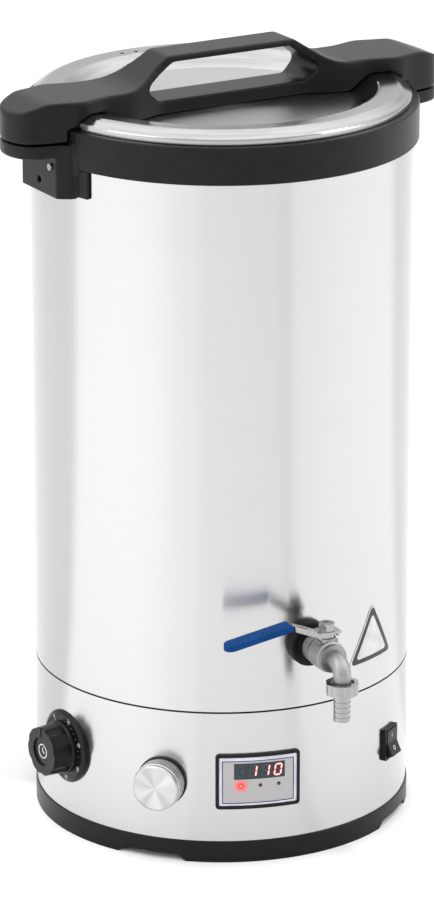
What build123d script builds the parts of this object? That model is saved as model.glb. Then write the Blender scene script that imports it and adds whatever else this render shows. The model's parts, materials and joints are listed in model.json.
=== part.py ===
from build123d import *
import os
from math import cos, degrees, radians, sin, sqrt

# Electric all in one brewer. Millimetres, +Z up. The origin is the centre of the foot plane:
# the front is towards -Y and the lid bar runs along X. Azimuths are in degrees, measured from
# the front towards +X.

# Round body
WALL_R = 160.0
SHEET = 1.2
BASE_R = 161.0
BASE_H = 19.0
SKIRT_TOP = 133.6
KETTLE_BOTTOM = 135.2
KETTLE_FLOOR = 150.0
KETTLE_RIM = 612.0
COLLAR_R = 165.0
COLLAR_BOTTOM = 590.0
COLLAR_TOP = 621.5
COLLAR_MOUTH_R = 154.0
HANDLE_GAP = 15.0

# Lid
LID_R = 158.5
LID_EDGE = 622.0
LID_CROWN = 632.5
LID_FLOOR = 619.0
LID_FLOOR_R = 113.0
LID_SHEET = 1.0

# Twist-lock bar on the lid
BAR_HALF = 204.0
BAR_BOTTOM = 611.2
ARM_TOP = 644.5
GRIP_TOP = 667.5
BAR_END_TOP = 635.5
GRIP_HALF_WIDTH = 17.6
ARM_HALF_WIDTH = 29.6
FLARE_HALF_WIDTH = 37.0

# Side handles
HANDLE_BOTTOM = 564.5
PLATE_BOTTOM = 598.4
PLATE_TOP = 609.7
LEG_OUTER = 173.0
LEG_SCREW_Y, LEG_SCREW_Z = 20.5, 590.0

# Controls on the skirt: azimuth and height
DISPLAY_AT, DISPLAY_Z = -19.2, 73.0
TEMPERATURE_AT, TEMPERATURE_Z = -48.3, 71.0
TIMER_AT, TIMER_Z = -86.2, 77.2
SWITCH_AT, SWITCH_Z = 32.5, 74.5
INLET_AT, INLET_Z = 180.0, 62.0
DISPLAY_W, DISPLAY_H = 72.6, 49.0
WINDOW_X, WINDOW_Z, WINDOW_W, WINDOW_H = 1.0, 9.0, 43.6, 14.4
LAMP_X = (-14.8, 1.5, 17.4)
LAMP_Z = -3.9
SWITCH_HALF_W, SWITCH_HALF_H = 11.4, 14.2
ROCKER_TILT = 12.0
BLADE_X = (-10.0, 0.0, 10.0)

# Tap
TAP_AT, TAP_Z = -3.7, 192.0
STEM_OUT = 193.6
OUTLET_OUT = 221.6
BALL_R = 9.0
PORT_R = 6.3
THREAD_R = 10.4
TAIL_R = 7.15
TAIL_SHOULDER_R, TAIL_SHOULDER_Z = 7.6, 166.6
ELBOW_BEND = 11.0
ELBOW_FOOT = 172.0
NUT_LOW, NUT_HIGH = 167.2, 176.9
RUN = 0.06
# Lever: distance from the stem towards the grip is negative, height is above its underside
LEVER_LOW = 211.5
LEVER_LINE = ((10.0, 0.0), (-9.5, 0.0), (-33.0, 10.0), (-91.0, 1.0))

# Badge
BADGE_AT, BADGE_Z, BADGE_SIDE = 22.0, 175.7, 60.0

# Malt pipe
PIPE_R = 132.0
PIPE_BOTTOM = 166.0
PIPE_TOP = 600.0
TUBE_R = 12.0
BAIL_R = 141.0
BAIL_Z = 592.0


def wall_frame(azimuth, z, radius=WALL_R):
    """Plane on the wall: x to the viewer's right, y up, z straight outwards."""
    a = radians(azimuth)
    return Plane(
        origin=(radius * sin(a), -radius * cos(a), z),
        x_dir=(cos(a), sin(a), 0),
        z_dir=(sin(a), -cos(a), 0),
    )


def disc(radius, low, high):
    """Upright solid cylinder between two heights."""
    return Pos(0, 0, low) * Cylinder(radius, high - low, align=(Align.CENTER, Align.CENTER, Align.MIN))


def ring(outer, inner, low, high):
    """Upright tube between two heights."""
    return disc(outer, low, high) - disc(inner, low - 1, high + 1)


def block(x0, x1, y0, y1, z0, z1):
    """Box from its six faces."""
    return Pos((x0 + x1) / 2, (y0 + y1) / 2, (z0 + z1) / 2) * Box(x1 - x0, y1 - y0, z1 - z0)


def hexagon(flats, low, high, sides=6):
    """Upright prism, sized across its flats."""
    outline = RegularPolygon(flats / 2, sides, major_radius=False)
    return Pos(0, 0, low) * extrude(outline, high - low)


def spun(points, rounding=()):
    """Solid of revolution about Z from (radius, height) points, with some corners rounded."""
    outline = make_face(Polyline(*points, close=True))
    for (r, z), radius in rounding:
        corner = outline.vertices().sort_by_distance((r, z, 0))[0]
        outline = fillet(corner, radius)
    return revolve(Plane.XZ * outline, Axis.Z)


def sector(half_angle, at, reach=230.0, low=500.0, high=700.0):
    """Upright wedge about the azimuth `at`, used to cut or keep part of a ring."""
    corner = reach * sin(radians(half_angle)) / cos(radians(half_angle))
    wedge = extrude(make_face(Polyline((0, 0), (reach, -corner), (reach, corner), close=True)), high - low)
    return Rot(0, 0, at - 90) * Pos(0, 0, low) * wedge


def wall_patch(width, height, corner, inner, outer):
    """Rounded rectangle wrapped on the wall, as a shell between two radii, in world place at azimuth 0."""
    outline = RectangleRounded(width, height, corner)
    slab = Plane(origin=(0, 0, 0), x_dir=(1, 0, 0), z_dir=(0, -1, 0)) * extrude(outline, outer + 20)
    return slab & ring(outer, inner, -height, height)


def arc_width(length):
    """Chord of a patch whose width along the wall is `length`."""
    return 2 * WALL_R * sin(length / 2 / WALL_R)


def placed(shape, azimuth, z):
    """Turn a shape made at the front to its azimuth and lift it to its height."""
    return Pos(0, 0, z) * Rot(0, 0, azimuth) * shape


# ---------------------------------------------------------------- body


def make_base_ring():
    """Black foot ring with a ledge for the floor plate and four arched notches between its feet."""
    body = ring(BASE_R, 154.0, 0, BASE_H) + ring(154.5, 138.0, 9.0, 12.0)
    top = body.edges().filter_by(GeomType.CIRCLE).filter_by(lambda e: abs(e.radius - BASE_R) < 0.01)
    body = fillet(top.sort_by(Axis.Z)[-1], 1.2)
    notch = Polyline((-32.0, -1.0), (-25.0, 5.7), (25.0, 5.7), (32.0, -1.0), close=True)
    cutter = extrude(make_face(notch), 30.0)
    for turn in range(4):
        body -= wall_frame(-52.2 + 90 * turn, 0, 145.0) * cutter
    for turn in range(4):
        body -= Rot(0, 0, 45 + 90 * turn) * Pos(146.0, 0, 0) * disc(2.1, 5, 15)
    return body


def make_base_plate():
    """Steel floor of the electronics bay with vent slots and four posts for the control board."""
    plate = disc(153.0, 7.5, 9.0) + disc(137.5, 9.0, 10.0)
    for row in range(-3, 4):
        plate -= block(-112, -62, 9 * row - 2, 9 * row + 2, 0, 20)
    for x in (-50, 50):
        for y in (-32, 32):
            plate += Pos(x, y, 0) * disc(4.0, 9.5, 26.0)
    for turn in range(4):
        plate -= Rot(0, 0, 45 + 90 * turn) * Pos(146.0, 0, 0) * disc(2.1, 0, 15)
    return plate


def make_base_plate_screws():
    """Four pan-head screws that hold the floor plate up against the ledge."""
    screws = []
    for turn in range(4):
        screw = disc(4.0, 5.2, 7.4) + disc(2.0, 7.0, 11.8)
        screw -= block(-3, 3, -0.5, 0.5, 4.0, 6.0)
        screws.append(Rot(0, 0, 45 + 90 * turn) * Pos(146.0, 0, 0) * screw)
    return Compound(screws)


def make_skirt():
    """Steel skirt round the electronics, with the joggle that the kettle slips over."""
    skirt = ring(WALL_R, WALL_R - SHEET, BASE_H, SKIRT_TOP)
    skirt += ring(WALL_R - SHEET + 0.1, 157.0, 120.0, SKIRT_TOP)
    skirt += ring(WALL_R - SHEET - 0.3, 157.0, SKIRT_TOP, 141.0)
    skirt -= placed(extrude_out(arc_width(58.0), 34.0, 2.0), DISPLAY_AT, DISPLAY_Z)
    skirt -= wall_frame(TEMPERATURE_AT, TEMPERATURE_Z, 145.0) * disc(5.2, 0, 20)
    skirt -= wall_frame(TIMER_AT, TIMER_Z, 145.0) * disc(5.2, 0, 20)
    skirt -= placed(extrude_out(20.6, 26.4, 0.2), SWITCH_AT, SWITCH_Z)
    skirt -= placed(extrude_out(35.0, 24.0, 3.0), INLET_AT, INLET_Z)
    return skirt


def extrude_out(width, height, corner):
    """Rounded rectangular bar from radius 130 to 185 at the front, for cutting the wall."""
    bar = extrude(RectangleRounded(width, height, corner), 55.0)
    return Plane(origin=(0, -130.0, 0), x_dir=(1, 0, 0), z_dir=(0, -1, 0)) * bar


def make_kettle():
    """Drawn steel vessel: wall, floor, and a folded hem at the mouth."""
    inner = WALL_R - SHEET
    vessel = ring(WALL_R, inner, KETTLE_BOTTOM, KETTLE_RIM)
    vessel += disc(inner + 0.1, KETTLE_FLOOR, KETTLE_FLOOR + 1.5)
    vessel += ring(inner + 0.1, 157.6, 604.0, KETTLE_RIM)
    vessel -= wall_frame(TAP_AT, TAP_Z, 145.0) * disc(THREAD_R + 0.2, 0, 20)
    for side in (-1, 1):
        for y in (-22, 22):
            vessel -= handle_screw_hole(side, y)
    return vessel


def handle_screw_hole(side, y):
    """Clearance hole through the wall for a side handle screw."""
    return Pos(side * 158.0, y, 575.0) * Rot(0, 90, 0) * Cylinder(2.7, 12.0)


def make_collar():
    """Black rim moulding that straddles the kettle's hem, open where the side handles sit."""
    outer = spun(
        [(160.3, COLLAR_BOTTOM), (COLLAR_R, COLLAR_BOTTOM), (COLLAR_R, COLLAR_TOP), (160.3, COLLAR_TOP)],
        [((COLLAR_R, COLLAR_TOP), 1.5), ((COLLAR_R, COLLAR_BOTTOM), 1.0)],
    )
    for side in (-90, 90):
        outer -= sector(HANDLE_GAP, side)
    bridge = ring(160.4, COLLAR_MOUTH_R, KETTLE_RIM + 0.2, COLLAR_TOP)
    inner = ring(157.3, COLLAR_MOUTH_R, 600.0, KETTLE_RIM + 0.4)
    return outer + bridge + inner


# ---------------------------------------------------------------- side handles


def plan_outline(end, grip_half=GRIP_HALF_WIDTH):
    """Plan of the bar: narrow grip, wider arms, a flare over the rim and rounded ends."""
    right = [
        (62.0, grip_half),
        (100.0, ARM_HALF_WIDTH - 0.6),
        (128.0, ARM_HALF_WIDTH + 0.6),
        (152.0, FLARE_HALF_WIDTH - 1.2),
        (164.0, 32.5),
        (180.0, 28.6),
        (end - 6.0, 20.0),
        (end, 0.0),
    ]
    upper = Spline(
        *right,
        tangents=[(1, 0), (0, -1)],
        tangent_scalars=[1.0, 0.8],
    )
    lower = mirror(upper, Plane.XZ)
    left_upper = mirror(upper, Plane.YZ)
    left_lower = mirror(lower, Plane.YZ)
    top = Line((-62.0, grip_half), (62.0, grip_half))
    bottom = Line((-62.0, -grip_half), (62.0, -grip_half))
    return make_face(upper + lower + left_upper + left_lower + top + bottom)


def make_side_handle():
    """Right side handle: wall flange, leg, grip plate and the catch the bar turns over."""
    flange = ring(162.8, WALL_R + 0.2, HANDLE_BOTTOM + 1.5, COLLAR_BOTTOM - 0.3) & sector(17.8, 90)
    post = ring(COLLAR_R, WALL_R + 0.4, COLLAR_BOTTOM - 6.0, 621.2) & sector(14.9, 90)
    leg_plan = Polyline(
        (158.0, -37.0), (164.0, -36.0), (LEG_OUTER, -ARM_HALF_WIDTH), (LEG_OUTER, ARM_HALF_WIDTH),
        (164.0, 36.0), (158.0, 37.0), close=True,
    )
    leg = Pos(0, 0, HANDLE_BOTTOM) * extrude(make_face(leg_plan), PLATE_TOP - HANDLE_BOTTOM)
    leg = fillet(leg.edges().filter_by(Axis.Z).sort_by(Axis.X)[-2:], 2.0)
    plate = Pos(0, 0, PLATE_BOTTOM) * extrude(plan_outline(BAR_HALF), PLATE_TOP - PLATE_BOTTOM)
    plate &= block(162.0, 220.0, -60, 60, 500, 700)
    plate = fillet(plate.edges().group_by(Axis.Z)[0].sort_by(Axis.X)[-1], 2.5)
    body = flange + post + leg + plate
    body -= disc(WALL_R + 0.2, 500, 700)
    body -= ring(COLLAR_R + 60, COLLAR_R + 0.4, PLATE_TOP, 700)
    body -= Pos(LEG_OUTER, 0, 575.0) * Rot(0, 90, 0) * Cylinder(2.9, 14.0)
    for y in (-22, 22):
        body -= Pos(164.0, y, 575.0) * Rot(0, 90, 0) * Cylinder(2.5, 12.0)
    body -= Pos(LEG_OUTER, LEG_SCREW_Y, LEG_SCREW_Z) * Rot(0, 90, 0) * Cylinder(1.6, 14.0)
    return body


def make_side_handle_screws():
    """Pan-head screws: two per side from inside the kettle, and one in each leg's outer face."""
    shank = disc(2.45, 0, 11.0)
    head = disc(4.4, -2.4, 0) - block(-3.2, 3.2, -0.6, 0.6, -4.0, -1.4)
    from_inside = shank + head
    cover = disc(1.55, -6.5, 0) + disc(2.8, 0, 1.8) - block(-2, 2, -0.4, 0.4, 1.0, 3.0)
    screws = []
    for side, turn in ((1, 0), (-1, 180)):
        for y in (-22, 22):
            inside = Pos(156.4, y, 575.0) * Rot(0, 90, 0) * from_inside
            screws.append(Rot(0, 0, turn) * inside)
        outside = Pos(LEG_OUTER + 0.05, LEG_SCREW_Y, LEG_SCREW_Z) * Rot(0, 90, 0) * cover
        screws.append(Rot(0, 0, turn) * outside)
    return Compound(screws)


# ---------------------------------------------------------------- lid


def lid_face(lift=0.0):
    """Filled section of the lid down to well below its edge, raised by `lift` along its surface."""
    points = [
        (0.0, 590.0),
        (0.0, LID_FLOOR),
        (LID_FLOOR_R, LID_FLOOR),
        (131.0, LID_CROWN - 0.7),
        (149.0, LID_CROWN),
        (LID_R, 627.0),
        (LID_R, 590.0),
    ]
    outline = make_face(Polyline(*points, close=True))
    rounding = [
        ((LID_FLOOR_R, LID_FLOOR), 8.0),
        ((131.0, LID_CROWN - 0.7), 5.0),
        ((149.0, LID_CROWN), 9.0),
        ((LID_R, 627.0), 2.5),
    ]
    for (r, z), radius in rounding:
        corner = outline.vertices().sort_by_distance((r, z, 0))[0]
        outline = fillet(corner, radius)
    if lift:
        outline = offset(outline, lift)
    return outline


def lid_solid(lift=0.0):
    """The lid as a filled solid of revolution."""
    half = lid_face(lift) & Pos(100, 620) * Rectangle(200, 200)
    return revolve(Plane.XZ * half, Axis.Z)


def make_lid_shell():
    """Polished lid: raised rolled rim, sloping step, recessed floor and three steam holes."""
    shell = lid_solid() - lid_solid(-LID_SHEET)
    shell -= ring(200.0, 130.0, 560.0, LID_EDGE)
    shell -= disc(200.0, 560.0, 610.0)
    shell += ring(LID_R, LID_R - 2.4, LID_EDGE, LID_EDGE + 1.6)
    for x in (-18.0, -4.5, 9.0):
        shell -= Pos(x, 137.0, 0) * disc(1.75, 600, 650)
    for x in (-98.0, 98.0):
        for y in (-12.0, 12.0):
            shell -= Pos(x, y, 0) * disc(2.6, 600, 650)
    return shell


def make_lid_seal():
    """Silicone ring that plugs the collar's mouth."""
    return spun([(149.5, 615.0), (153.6, 617.0), (153.6, 626.4), (151.5, 627.6), (149.5, 627.6)])


def bar_side():
    """Side outline of the bar: low arms, a raised grip and a closed foot."""
    top_right = [(60.0, GRIP_TOP), (95.0, ARM_TOP), (180.0, ARM_TOP), (BAR_HALF, BAR_END_TOP)]
    right = top_right + [(BAR_HALF, BAR_BOTTOM)]
    left = [(-x, z) for x, z in reversed(right)]
    outline = make_face(Polyline(*left, *right, close=True))
    for x in (-1, 1):
        for (px, pz), radius in (
            ((60.0, GRIP_TOP), 7.0),
            ((95.0, ARM_TOP), 45.0),
            ((180.0, ARM_TOP), 28.0),
            ((BAR_HALF, BAR_END_TOP), 5.0),
        ):
            corner = outline.vertices().sort_by_distance((x * px, pz, 0))[0]
            outline = fillet(corner, radius)
    return outline


def bar_window():
    """Side outline of the finger window through the bar."""
    corners = [(-69, 630.5), (69, 630.5), (84, 642.5), (55.5, 662), (-55.5, 662), (-84, 642.5)]
    outline = make_face(Polyline(*corners, close=True))
    for (x, z), radius in (((69, 630.5), 7), ((84, 642.5), 5), ((55.5, 662), 3)):
        for side in (-1, 1):
            corner = outline.vertices().sort_by_distance((side * x, z, 0))[0]
            outline = fillet(corner, radius)
    return outline


def make_lid_bar():
    """Twist-lock bar: a hand grip over the recess and two arms that reach past the collar."""
    plan = Pos(0, 0, 600.0) * extrude(plan_outline(BAR_HALF), 80.0)
    side = Plane.XZ * extrude(bar_side(), 60.0, both=True)
    body = plan & side
    body -= Plane.XZ * extrude(bar_window(), 60.0, both=True)
    body -= lid_solid(0.15)
    body -= ring(COLLAR_R + 0.4, LID_FLOOR_R + 20.0, 580.0, LID_EDGE + 0.3)
    for x in (-98.0, 98.0):
        for y in (-12.0, 12.0):
            body -= Pos(x, y, 0) * disc(2.5, 600, 633)
    return body


def make_lid_screws():
    """Four screws up through the lid floor into the bar."""
    screws = []
    for x in (-98.0, 98.0):
        for y in (-12.0, 12.0):
            screw = disc(2.45, 617.0, 632.0) + disc(4.4, 615.4, 617.9)
            screw -= block(-3.2, 3.2, -0.6, 0.6, 614.0, 616.4)
            screws.append(Pos(x, y, 0) * screw)
    return Compound(screws)


# ---------------------------------------------------------------- malt pipe


def make_malt_pipe():
    """Inner basket wall with a rolled rim, a support ledge, four feet and two bail ears."""
    wall = ring(PIPE_R, PIPE_R - 1.0, PIPE_BOTTOM, PIPE_TOP)
    wall += ring(PIPE_R + 1.2, PIPE_R - 1.0, PIPE_TOP - 6.0, PIPE_TOP)
    wall += ring(PIPE_R - 0.9, 124.0, PIPE_BOTTOM, PIPE_BOTTOM + 1.5)
    for turn in range(4):
        foot = block(120.0, PIPE_R - 0.5, -8.0, 8.0, 152.5, PIPE_BOTTOM + 0.5)
        wall += Rot(0, 0, 45 + 90 * turn) * (foot - block(110, 129, -20, 20, 154.5, 164.5))
    for side in (-1, 1):
        ear = block(PIPE_R - 0.5, PIPE_R + 3.0, -9.0, 9.0, BAIL_Z - 9.0, BAIL_Z + 9.0)
        ear -= Pos(PIPE_R, 0, BAIL_Z) * Rot(0, 90, 0) * Cylinder(3.1, 30.0)
        hole = Pos(PIPE_R, 0, BAIL_Z) * Rot(0, 90, 0) * Cylinder(3.1, 12.0)
        turn = Rot(0, 0, 90 - 90 * side)
        wall += turn * ear
        wall -= turn * hole
    return wall


def sieve(radius, low, rings, centre_hole):
    """Perforated disc with rings of drain holes and a rolled edge."""
    plate = disc(radius, low, low + 1.2) + ring(radius, radius - 1.5, low, low + 6.0)
    plate -= disc(centre_hole, low - 1, low + 3)
    hole = disc(2.0, low - 1, low + 3)
    cuts = []
    for r, count in rings:
        for i in range(count):
            cuts.append(Rot(0, 0, 360 * i / count) * Pos(r, 0, 0) * hole)
    return plate - cuts


def make_overflow_tube():
    """Central overflow tube with a flanged foot and a bell mouth."""
    tube = ring(TUBE_R, TUBE_R - 1.0, 160.0, 597.0)
    tube += ring(20.0, TUBE_R - 0.5, 167.6 + 1.3, 167.6 + 2.5)
    tube += ring(TUBE_R + 2.0, TUBE_R - 1.0, 592.0, 597.0)
    return tube


def make_bail():
    """Carrying bail, folded flat behind the pipe's rim: a half hoop with upset corners and turned-in ends."""
    wire = 2.95
    hoop = revolve(Plane.XZ * (Pos(BAIL_R, BAIL_Z) * Circle(wire)), Axis.Z, 180)
    for side in (-1, 1):
        hoop += Pos(side * BAIL_R, 0, BAIL_Z) * Sphere(wire + 0.15)
        pin = Pos(side * (PIPE_R + BAIL_R - 3.0) / 2, 0, BAIL_Z) * Rot(0, 90, 0)
        hoop += pin * Cylinder(wire, BAIL_R - PIPE_R + 3.0)
    return hoop


# ---------------------------------------------------------------- heater and electronics


def make_element_plate():
    """Aluminium spreader pressed against the kettle floor, with a hole for the probe."""
    return disc(120.0, 144.0, KETTLE_FLOOR) - Pos(0, 45, 0) * disc(8.0, 140, 155)


def make_heating_element():
    """Tubular heater: three quarters of a hoop with both ends turned down."""
    radius, wire, height = 92.0, 4.2, 139.7
    section = Plane.XZ * (Pos(radius, height) * Circle(wire))
    body = revolve(section, Axis.Z, 320)
    for angle in (0, 320):
        end = Pos(radius, 0, 0) * disc(wire, 112.0, height) + Pos(radius, 0, height) * Sphere(wire)
        terminal = Pos(radius, 0, 0) * disc(2.0, 104.0, 112.5)
        body += Rot(0, 0, angle) * (end + terminal)
    return Rot(0, 0, 70) * body


def make_element_clamp():
    """Cross strap with two studs that holds the heater up against the spreader."""
    strap = block(-104, 104, -8, 8, 133.2, 135.4)
    for x in (-70, 70):
        strap += Pos(x, 0, 0) * disc(3.0, 128.0, 143.9)
        strap += Pos(x, 0, 0) * hexagon(9.0, 129.5, 133.3)
    return strap - disc(10.0, 130, 140)


def make_thermal_cutout():
    """Resettable over-temperature cut-out with its two tabs."""
    body = disc(8.0, 136.0, 143.9) + disc(11.0, 142.6, 143.9)
    for x in (-4, 4):
        body += block(x - 1.6, x + 1.6, -0.4, 0.4, 127.0, 136.5)
    return body


def make_temperature_probe():
    """Stainless probe that touches the kettle floor through the spreader's hole."""
    body = disc(3.0, 118.0, KETTLE_FLOOR - 0.1) + disc(5.5, 136.0, 138.0)
    return Pos(0, 45, 0) * (body + disc(4.0, 112.0, 118.5))


def make_control_board():
    """Control board on the floor plate's posts, with a few of its larger parts."""
    board = block(-58, 58, -40, 40, 26.1, 27.7)
    for i in range(3):
        board += Pos(-44 + 14 * i, 28, 0) * disc(5.0, 27.5, 42.0)
    board += block(-30, -4, -8, 12, 27.5, 31.0)
    board += block(-52, -34, -34, -18, 27.5, 44.0)
    for i in range(5):
        board += block(0 + 9 * i, 5 + 9 * i, 24, 34, 27.5, 33.0)
    return board


def make_relay():
    """Power relay on the board."""
    return block(4, 34, -24, -2, 27.8, 52.0) + block(6, 32, -22, -4, 51.0, 53.0)


def make_heat_sink():
    """Finned heat sink beside the relay."""
    sink = block(40, 56, -36, 20, 27.8, 30.5)
    for i in range(5):
        sink += block(40.0 + 3.6 * i, 41.4 + 3.6 * i, -36, 20, 30.0, 58.0)
    return sink


def make_terminal_block():
    """Mains terminal block on the floor plate."""
    body = block(-30, 30, 62, 82, 10.1, 28.0)
    for i in range(4):
        body -= Pos(-21 + 14 * i, 72, 0) * disc(3.0, 20.0, 30.0)
        body += Pos(-21 + 14 * i, 72, 0) * disc(2.4, 19.0, 24.0)
    return body


# ---------------------------------------------------------------- display


def make_display_frame():
    """Black curved bezel with rounded corners."""
    outer = wall_patch(arc_width(DISPLAY_W), DISPLAY_H, 3.0, WALL_R + 0.1, WALL_R + 2.0)
    inner = wall_patch(arc_width(DISPLAY_W - 5.6), DISPLAY_H - 5.6, 1.2, WALL_R - 5, WALL_R + 5)
    back = wall_patch(arc_width(57.4), 33.4, 1.6, WALL_R - 3.0, WALL_R + 0.2)
    back += wall_patch(arc_width(DISPLAY_W - 2.0), DISPLAY_H - 2.0, 1.2, WALL_R + 0.1, WALL_R + 0.6)
    hollow = wall_patch(arc_width(53.0), 29.0, 1.0, WALL_R - 6, WALL_R + 5)
    frame = (outer - inner) + (back - hollow)
    return placed(frame, DISPLAY_AT, DISPLAY_Z)


def window_place(shape, x, z):
    """Slide a front patch along the wall by x and up by z from the display's centre."""
    return placed(shape, DISPLAY_AT + degrees(x / WALL_R), DISPLAY_Z + z)


def make_display_panel():
    """Grey curved fascia with the window and lamp holes."""
    panel = placed(
        wall_patch(arc_width(DISPLAY_W - 5.8), DISPLAY_H - 5.8, 1.0, WALL_R + 0.65, WALL_R + 1.25),
        DISPLAY_AT,
        DISPLAY_Z,
    )
    opening = wall_patch(arc_width(WINDOW_W), WINDOW_H, 0.5, WALL_R - 5, WALL_R + 5)
    panel -= window_place(opening, WINDOW_X, WINDOW_Z)
    for x in LAMP_X:
        panel -= wall_frame(DISPLAY_AT + degrees(x / WALL_R), DISPLAY_Z + LAMP_Z) * disc(1.6, -5, 5)
    return panel


def make_display_window():
    """Dark tinted window, a hair below the fascia."""
    window = wall_patch(arc_width(WINDOW_W - 0.1), WINDOW_H - 0.1, 0.45, WALL_R + 0.65, WALL_R + 1.15)
    return window_place(window, WINDOW_X, WINDOW_Z)


def make_indicator_lamps():
    """Three indicator lamps standing in the fascia's holes."""
    lamps = []
    for x in LAMP_X:
        frame = wall_frame(DISPLAY_AT + degrees(x / WALL_R), DISPLAY_Z + LAMP_Z)
        lamps.append(frame * (disc(1.55, 0.75, 1.2) + Pos(0, 0, 0.45) * scale(Sphere(1.5), (1, 1, 0.8))))
    return Compound([lamp & wall_band(WALL_R + 0.65) for lamp in lamps])


def wall_band(inner):
    """Wide upright tube outside a radius, for trimming parts that stand on the wall."""
    return ring(WALL_R + 40, inner, -100, 700)


def make_display_module():
    """Display board behind the fascia with its four-digit module."""
    board = block(-25, 25, -1, 1, -13, 13)
    digits = block(-20, 20, -5.5, -0.9, -1, 11)
    module = Pos(0, -149.0, 0) * (board + digits)
    return placed(module, DISPLAY_AT, DISPLAY_Z)


# ---------------------------------------------------------------- controls


def make_temperature_knob():
    """Turned aluminium knob: knurled band, bright shoulder, dished face and a blind bore."""
    knob = spun(
        [(0, 2.4), (20.5, 2.4), (20.5, 15.5), (19.9, 16.2), (19.9, 19.2), (19.1, 20.0), (0, 20.0)],
    )
    groove = Pos(20.85, 0, 9.2) * Rot(0, 0, 45) * Box(0.9, 0.9, 12.6)
    knob -= [Rot(0, 0, 5 * i) * groove for i in range(72)]
    knob -= disc(3.03, 2.0, 14.0)
    return wall_frame(TEMPERATURE_AT, TEMPERATURE_Z) * knob


def make_temperature_seat():
    """Black ring under the silver knob, shaped to the wall."""
    seat = ring(21.4, 6.0, -3.0, 2.1)
    return (wall_frame(TEMPERATURE_AT, TEMPERATURE_Z) * seat) & wall_band(WALL_R + 0.1)


def make_potentiometer():
    """Potentiometer behind the wall with its threaded bush and nut."""
    body = disc(12.0, -22.0, -6.0) + ring(4.9, 3.07, -6.2, 1.6)
    body -= disc(3.07, -18.0, 5.0)
    for x in (-5, 0, 5):
        body += block(x - 0.8, x + 0.8, -17, -11, -14.5, -14.0)
    return wall_frame(TEMPERATURE_AT, TEMPERATURE_Z) * body


def make_potentiometer_shaft():
    """Steel spindle from the potentiometer into the knob."""
    return wall_frame(TEMPERATURE_AT, TEMPERATURE_Z) * disc(3.0, -17.8, 13.9)


def make_timer_dial():
    """Round dial plate with a bevelled rim, shaped to the wall behind."""
    dial = spun(
        [(6.0, -5.0), (31.75, -5.0), (31.75, 0.6), (28.5, 2.6), (22.0, 2.6), (6.0, 2.6)],
    )
    return (wall_frame(TIMER_AT, TIMER_Z) * dial) & wall_band(WALL_R + 0.1)


def make_timer_knob():
    """Black seven-lobed knob with a recessed face and a pointer groove."""
    knob = spun([(0, 3.0), (23.0, 3.0), (23.0, 6.0), (22.0, 7.0), (21.0, 24.4), (0, 24.4)])
    scallop = Pos(29.5, 0, 7.2) * Cylinder(
        9.6, 30.0, align=(Align.CENTER, Align.CENTER, Align.MIN)
    )
    knob -= [Rot(0, 0, 90 + 180 / 7 + 360 * i / 7) * scallop for i in range(7)]
    knob -= disc(12.5, 22.9, 30.0)
    knob -= block(-1.0, 1.0, 12.0, 25.0, 23.2, 30.0)
    knob -= disc(3.03, 2.0, 18.0)
    return wall_frame(TIMER_AT, TIMER_Z) * knob


def make_timer_body():
    """Clockwork timer behind the wall with its bush."""
    body = block(-22, 22, -22, 22, -38.0, -8.0)
    body += ring(4.9, 3.07, -8.2, 2.4)
    body -= disc(3.07, -30.0, 5.0)
    for y in (-12, 12):
        body += block(-3, 3, y - 0.4, y + 0.4, -46.0, -37.5)
    return wall_frame(TIMER_AT, TIMER_Z) * body


def make_timer_shaft():
    """Timer spindle."""
    return wall_frame(TIMER_AT, TIMER_Z) * disc(3.0, -29.8, 17.9)


def make_switch_housing():
    """Snap-in switch: bezel, body and terminals, open at the front for the rocker."""
    bezel = extrude(RectangleRounded(2 * SWITCH_HALF_W, 2 * SWITCH_HALF_H, 1.5), 7.0)
    body = (wall_frame(SWITCH_AT, SWITCH_Z) * (Pos(0, 0, -4.0) * bezel)) & wall_band(WALL_R + 0.1)
    body += wall_frame(SWITCH_AT, SWITCH_Z) * block(-10.1, 10.1, -13.0, 13.0, -20.0, 1.0)
    body -= wall_frame(SWITCH_AT, SWITCH_Z) * block(-8.9, 8.9, -12.95, 12.95, -14.0, 10.0)
    for x in (-4.5, 4.5):
        for y in (-7, 7):
            body += wall_frame(SWITCH_AT, SWITCH_Z) * block(x - 0.4, x + 0.4, y - 3, y + 3, -28.0, -19.5)
    for side in (-1, 1):
        pin = Pos(side * 8.8, 0, 0.5) * Rot(0, 90, 0) * Cylinder(1.5, 1.2)
        body += wall_frame(SWITCH_AT, SWITCH_Z) * pin
    return body


def make_rocker():
    """Rocker button, its upper half pressed in, on the housing's two pivot bosses."""
    profile = make_face(Polyline(
        (-11.4, 5.6), (0, 3.2), (11.4, 5.6), (11.4, -1.0), (5.5, -9.0), (-5.5, -9.0), (-11.4, -1.0), close=True,
    ))
    side_on = Plane(origin=(-8.6, 0, 0), x_dir=(0, 1, 0), z_dir=(1, 0, 0))
    body = side_on * extrude(profile, 17.2)
    body -= Rot(0, 90, 0) * Cylinder(1.56, 30.0)
    tilted = Pos(0, 0, 0.5) * Rot(-ROCKER_TILT, 0, 0) * body
    return wall_frame(SWITCH_AT, SWITCH_Z) * tilted


def make_inlet():
    """Appliance inlet in the back wall: flange, shroud and a deep socket."""
    flange = extrude(RectangleRounded(52.0, 30.0, 4.0), 8.0)
    body = (wall_frame(INLET_AT, INLET_Z) * (Pos(0, 0, -5.0) * flange)) & wall_band(WALL_R + 0.1)
    body += wall_frame(INLET_AT, INLET_Z) * (Pos(0, 0, -24.0) * extrude(RectangleRounded(34.4, 23.4, 3.0), 25.0))
    body -= wall_frame(INLET_AT, INLET_Z) * (Pos(0, 0, -18.0) * extrude(RectangleRounded(30.6, 19.6, 2.5), 30.0))
    for x in BLADE_X:
        body -= wall_frame(INLET_AT, INLET_Z) * block(x - 1.02, x + 1.02, -4.02, 4.02, -30.0, -10.0)
    return body


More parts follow.
